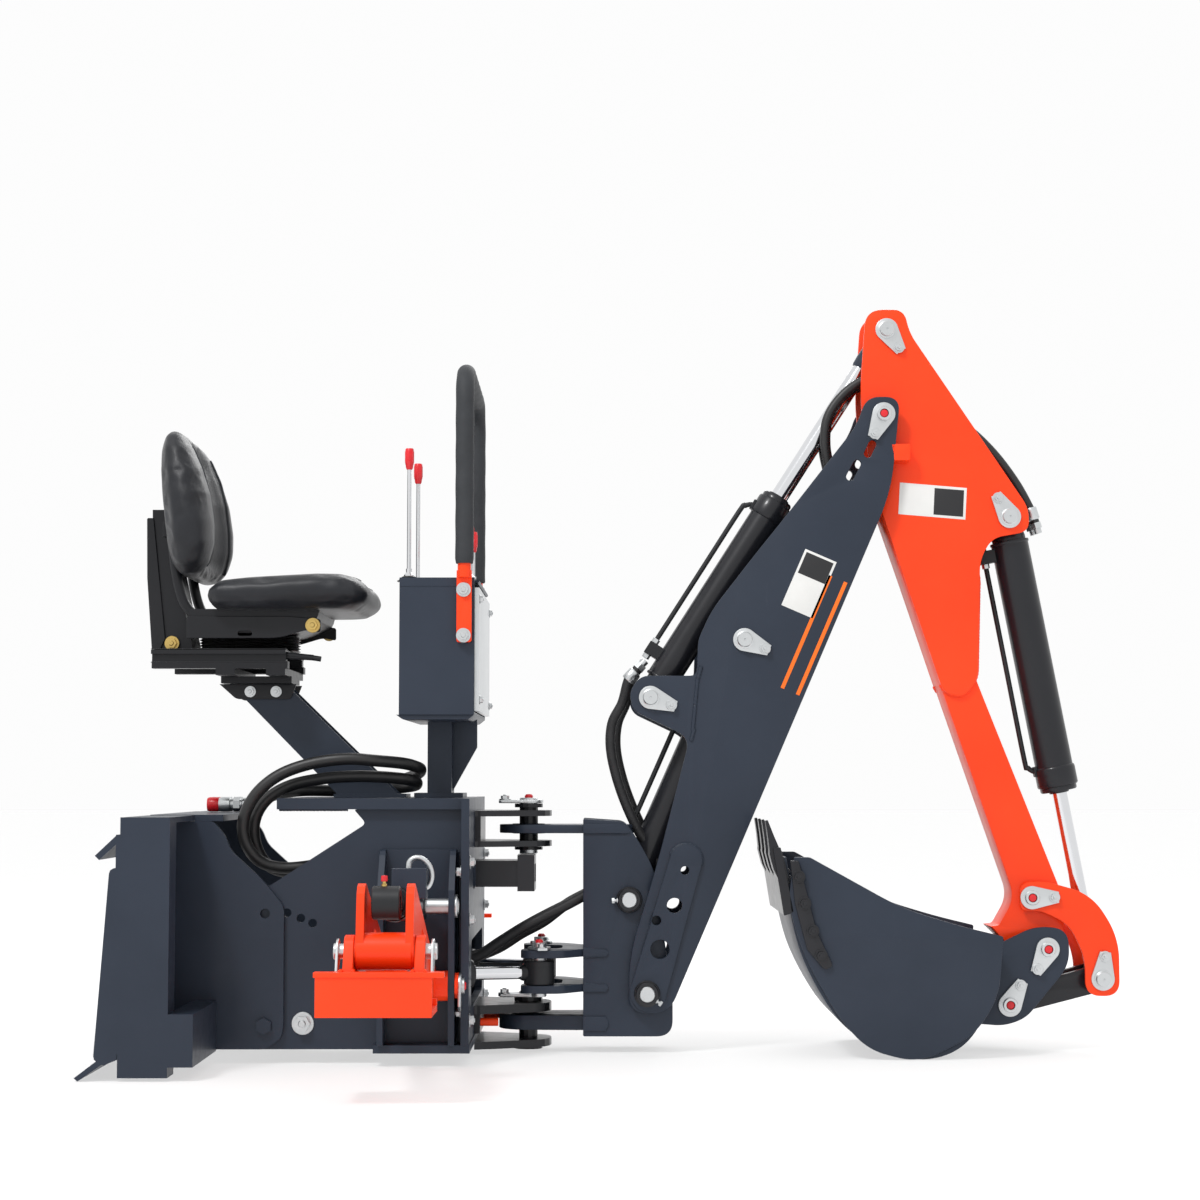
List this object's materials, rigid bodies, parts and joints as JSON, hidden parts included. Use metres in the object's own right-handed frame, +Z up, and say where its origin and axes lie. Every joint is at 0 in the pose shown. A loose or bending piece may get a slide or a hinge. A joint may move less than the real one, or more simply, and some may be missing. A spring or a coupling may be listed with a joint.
{
  "type": "skid-steer backhoe attachment",
  "caption": "Ride-on backhoe digger attachment: quick-attach frame with seat and levers, stabilizers, swinging mast, and a folding boom, dipper and toothed bucket.",
  "frame": {"origin": "middle of the footprint, on the level of the quick-attach lip and the bucket's underside", "axes": "+X from the loader towards the bucket, +Z up, -Y the side with the seat adjuster"},
  "size_m": [2.092, 1.92, 1.579],
  "materials": {
    "grey_paint": "semi-gloss slate-grey powder coat",
    "dark_paint": "gloss near-black paint",
    "orange_paint": "gloss orange powder coat",
    "black_paint": "satin black paint",
    "chrome_plate": "polished hard chrome",
    "zinc_plate": "bright zinc plate",
    "red_plastic": "moulded red plastic",
    "vinyl": "grained black vinyl",
    "hose_rubber": "matt hose cover"
  },
  "bodies": {
    "frame": {"frame_side_near": "grey_paint", "frame_side_far": "grey_paint", "frame_top_plate": "grey_paint", "frame_bottom_plate": "grey_paint", "frame_front_plate": "grey_paint", "quick_attach_plate": "grey_paint", "adapter_plate_near": "grey_paint", "adapter_plate_far": "grey_paint", "adapter_tray": "grey_paint", "stabilizer_bracket_near": "grey_paint", "stabilizer_bracket_far": "grey_paint", "seat_post": "grey_paint", "control_console": "grey_paint", "swing_bracket_upper": "dark_paint", "swing_bracket_lower": "dark_paint", "hose_guide": "dark_paint", "seat_rails": "black_paint", "valve_bank": "black_paint", "grab_bar": "black_paint", "console_cover": "zinc_plate", "supply_hose_upper": "hose_rubber", "supply_hose_lower": "hose_rubber"},
    "seat_slide": {"seat_frame": "black_paint"},
    "seat_suspension": {"seat_pan": "black_paint", "seat_cushion": "vinyl", "seat_backrest": "vinyl"},
    "arm_lever_near": {"arm_lever_near": "chrome_plate"},
    "arm_lever_far": {"arm_lever_far": "chrome_plate"},
    "stabilizer_lever_near": {"stabilizer_lever_near": "chrome_plate"},
    "stabilizer_lever_far": {"stabilizer_lever_far": "chrome_plate"},
    "mast": {"swing_mast": "grey_paint"},
    "boom": {"boom": "grey_paint", "boom_foot_pin": "zinc_plate", "boom_tip_pin": "zinc_plate"},
    "boom_barrel": {"boom_cylinder_barrel": "dark_paint"},
    "boom_rod": {"boom_cylinder_rod": "chrome_plate"},
    "dipper": {"dipper": "orange_paint"},
    "dipper_barrel": {"dipper_cylinder_barrel": "dark_paint"},
    "dipper_rod": {"dipper_cylinder_rod": "chrome_plate"},
    "curved_links": {"curved_links": "orange_paint"},
    "bucket_link": {"bucket_link": "dark_paint"},
    "bucket": {"bucket_shell": "grey_paint", "bucket_side_near": "grey_paint", "bucket_side_far": "grey_paint", "bucket_pivot_pin": "zinc_plate", "bucket_teeth": "dark_paint"},
    "bucket_barrel": {"bucket_cylinder_barrel": "dark_paint"},
    "bucket_rod": {"bucket_cylinder_rod": "chrome_plate"},
    "swing_rod_near": {"swing_cylinder_rod_near": "chrome_plate"},
    "swing_barrel_near": {"swing_cylinder_barrel_near": "dark_paint"},
    "stabilizer_arm_near": {"stabilizer_arm_near": "orange_paint"},
    "stabilizer_barrel_near": {"stabilizer_barrel_near": "dark_paint"},
    "stabilizer_rod_near": {"stabilizer_rod_near": "chrome_plate"},
    "stabilizer_pad_near": {"stabilizer_pad_near": "orange_paint"},
    "swing_rod_far": {"swing_cylinder_rod_far": "chrome_plate"},
    "swing_barrel_far": {"swing_cylinder_barrel_far": "dark_paint"},
    "stabilizer_arm_far": {"stabilizer_arm_far": "orange_paint"},
    "stabilizer_barrel_far": {"stabilizer_barrel_far": "dark_paint"},
    "stabilizer_rod_far": {"stabilizer_rod_far": "chrome_plate"},
    "stabilizer_pad_far": {"stabilizer_pad_far": "orange_paint"}
  },
  "joints": [
    {"name": "mast_swing", "type": "hinge", "parent": "frame", "child": "mast", "pos_m": [-0.2, 0, 0.3], "axis": [0, 0, 1], "range_deg": [-60, 60]},
    {"name": "boom_lift", "type": "hinge", "parent": "mast", "child": "boom", "pos_m": [0.051, 0, 0.125], "axis": [0, 1, 0], "range_deg": [0, 100]},
    {"name": "boom_cylinder_tilt", "type": "hinge", "parent": "mast", "child": "boom_barrel", "pos_m": [0.014, 0, 0.319], "axis": [0, 1, 0], "range_deg": [0, 108.5]},
    {"name": "boom_cylinder_stroke", "type": "slide", "parent": "boom_barrel", "child": "boom_rod", "axis": [0.4074, 0, 0.9133], "range_m": [0, 0.303]},
    {"name": "dipper_crowd", "type": "hinge", "parent": "boom", "child": "dipper", "pos_m": [0.556, 0, 1.347], "axis": [0, -1, 0], "range_deg": [0, 110]},
    {"name": "dipper_cylinder_tilt", "type": "hinge", "parent": "boom", "child": "dipper_barrel", "pos_m": [0.059, 0, 0.744], "axis": [0, -1, 0], "range_deg": [0, 3]},
    {"name": "dipper_cylinder_stroke", "type": "slide", "parent": "dipper_barrel", "child": "dipper_rod", "axis": [0.5411, 0, 0.8409], "range_m": [-0.307, 0]},
    {"name": "bucket_curl", "type": "hinge", "parent": "dipper", "child": "bucket", "pos_m": [0.893, 0, 0.216], "axis": [0, -1, 0], "range_deg": [0, 152]},
    {"name": "curved_link_swing", "type": "hinge", "parent": "dipper", "child": "curved_links", "pos_m": [0.863, 0, 0.323], "axis": [0, -1, 0], "range_deg": [0, 95.8]},
    {"name": "bucket_link_turn", "type": "hinge", "parent": "curved_links", "child": "bucket_link", "pos_m": [1.01, 0, 0.153], "axis": [0, -1, 0], "range_deg": [-20.7, 0]},
    {"name": "bucket_cylinder_tilt", "type": "hinge", "parent": "dipper", "child": "bucket_barrel", "pos_m": [0.827, 0, 1.131], "axis": [0, -1, 0], "range_deg": [0, 6]},
    {"name": "bucket_cylinder_stroke", "type": "slide", "parent": "bucket_barrel", "child": "bucket_rod", "axis": [0.1839, 0, -0.9829], "range_m": [-0.323, 0]},
    {"name": "swing_rod_turn_near", "type": "hinge", "parent": "mast", "child": "swing_rod_near", "pos_m": [-0.175, -0.1, 0.169], "axis": [0, 0, 1], "range_deg": [-60.5, 60.5]},
    {"name": "swing_stroke_near", "type": "slide", "parent": "swing_rod_near", "child": "swing_barrel_near", "axis": [0.9734, 0.229, 0], "range_m": [-0.09, 0.09]},
    {"name": "stabilizer_lower_near", "type": "hinge", "parent": "frame", "child": "stabilizer_arm_near", "pos_m": [-0.428, -0.33, 0.16], "axis": [1, 0, 0], "range_deg": [0, 45]},
    {"name": "stabilizer_cylinder_tilt_near", "type": "hinge", "parent": "frame", "child": "stabilizer_barrel_near", "pos_m": [-0.428, -0.33, 0.318], "axis": [1, 0, 0], "range_deg": [0, 42]},
    {"name": "stabilizer_stroke_near", "type": "slide", "parent": "stabilizer_barrel_near", "child": "stabilizer_rod_near", "axis": [0, -0.9981, 0.0617], "range_m": [0, 0.117]},
    {"name": "stabilizer_pad_tip_near", "type": "hinge", "parent": "stabilizer_arm_near", "child": "stabilizer_pad_near", "pos_m": [-0.428, -0.89, 0.267], "axis": [1, 0, 0], "range_deg": [-45, 15]},
    {"name": "arm_lever_push_near", "type": "hinge", "parent": "frame", "child": "arm_lever_near", "pos_m": [-0.45, -0.126, 1.002], "axis": [0, 1, 0], "range_deg": [-15, 15], "stiffness_Nm_per_rad": 6},
    {"name": "stabilizer_lever_push_near", "type": "hinge", "parent": "frame", "child": "stabilizer_lever_near", "pos_m": [-0.325, -0.075, 1.002], "axis": [0, 1, 0], "range_deg": [-15, 15], "stiffness_Nm_per_rad": 3},
    {"name": "swing_rod_turn_far", "type": "hinge", "parent": "mast", "child": "swing_rod_far", "pos_m": [-0.175, 0.1, 0.169], "axis": [0, 0, 1], "range_deg": [-60.5, 60.5]},
    {"name": "swing_stroke_far", "type": "slide", "parent": "swing_rod_far", "child": "swing_barrel_far", "axis": [0.9734, -0.229, 0], "range_m": [-0.09, 0.09]},
    {"name": "stabilizer_lower_far", "type": "hinge", "parent": "frame", "child": "stabilizer_arm_far", "pos_m": [-0.428, 0.33, 0.16], "axis": [-1, 0, 0], "range_deg": [0, 45]},
    {"name": "stabilizer_cylinder_tilt_far", "type": "hinge", "parent": "frame", "child": "stabilizer_barrel_far", "pos_m": [-0.428, 0.33, 0.318], "axis": [-1, 0, 0], "range_deg": [0, 42]},
    {"name": "stabilizer_stroke_far", "type": "slide", "parent": "stabilizer_barrel_far", "child": "stabilizer_rod_far", "axis": [0, 0.9981, 0.0617], "range_m": [0, 0.117]},
    {"name": "stabilizer_pad_tip_far", "type": "hinge", "parent": "stabilizer_arm_far", "child": "stabilizer_pad_far", "pos_m": [-0.428, 0.89, 0.267], "axis": [-1, 0, 0], "range_deg": [-45, 15]},
    {"name": "arm_lever_push_far", "type": "hinge", "parent": "frame", "child": "arm_lever_far", "pos_m": [-0.45, 0.126, 1.002], "axis": [0, 1, 0], "range_deg": [-15, 15], "stiffness_Nm_per_rad": 6},
    {"name": "stabilizer_lever_push_far", "type": "hinge", "parent": "frame", "child": "stabilizer_lever_far", "pos_m": [-0.325, 0.075, 1.002], "axis": [0, 1, 0], "range_deg": [-15, 15], "stiffness_Nm_per_rad": 3},
    {"name": "seat_fore_aft", "type": "slide", "parent": "frame", "child": "seat_slide", "axis": [1, 0, 0], "range_m": [-0.095, 0.055]},
    {"name": "seat_bounce", "type": "slide", "parent": "seat_slide", "child": "seat_suspension", "axis": [0, 0, 1], "range_m": [-0.025, 0], "stiffness_N_per_m": 23800, "springref_m": 0.03}
  ],
  "couplings": [
    {"joint": "boom_cylinder_tilt", "follows": "boom_lift", "ratio": 1.08},
    {"joint": "boom_cylinder_stroke", "follows": "boom_lift", "m_per_rad": 0.173},
    {"joint": "dipper_cylinder_tilt", "follows": "dipper_crowd", "ratio": 0.026},
    {"joint": "dipper_cylinder_stroke", "follows": "dipper_crowd", "m_per_rad": -0.1595},
    {"joint": "curved_link_swing", "follows": "bucket_curl", "ratio": 0.62855},
    {"joint": "bucket_link_turn", "follows": "bucket_curl", "ratio": -0.13476},
    {"joint": "bucket_cylinder_tilt", "follows": "bucket_curl", "ratio": 0.03807},
    {"joint": "bucket_cylinder_stroke", "follows": "bucket_curl", "m_per_rad": -0.12139},
    {"joint": "swing_rod_turn_near", "follows": "mast_swing", "ratio": -1},
    {"joint": "swing_stroke_near", "follows": "mast_swing", "m_per_rad": -0.085},
    {"joint": "stabilizer_cylinder_tilt_near", "follows": "stabilizer_lower_near", "ratio": 0.9249},
    {"joint": "stabilizer_stroke_near", "follows": "stabilizer_lower_near", "m_per_rad": 0.14709},
    {"joint": "swing_rod_turn_far", "follows": "mast_swing", "ratio": -1},
    {"joint": "swing_stroke_far", "follows": "mast_swing", "m_per_rad": 0.085},
    {"joint": "stabilizer_cylinder_tilt_far", "follows": "stabilizer_lower_far", "ratio": 0.9249},
    {"joint": "stabilizer_stroke_far", "follows": "stabilizer_lower_far", "m_per_rad": 0.14709}
  ]
}
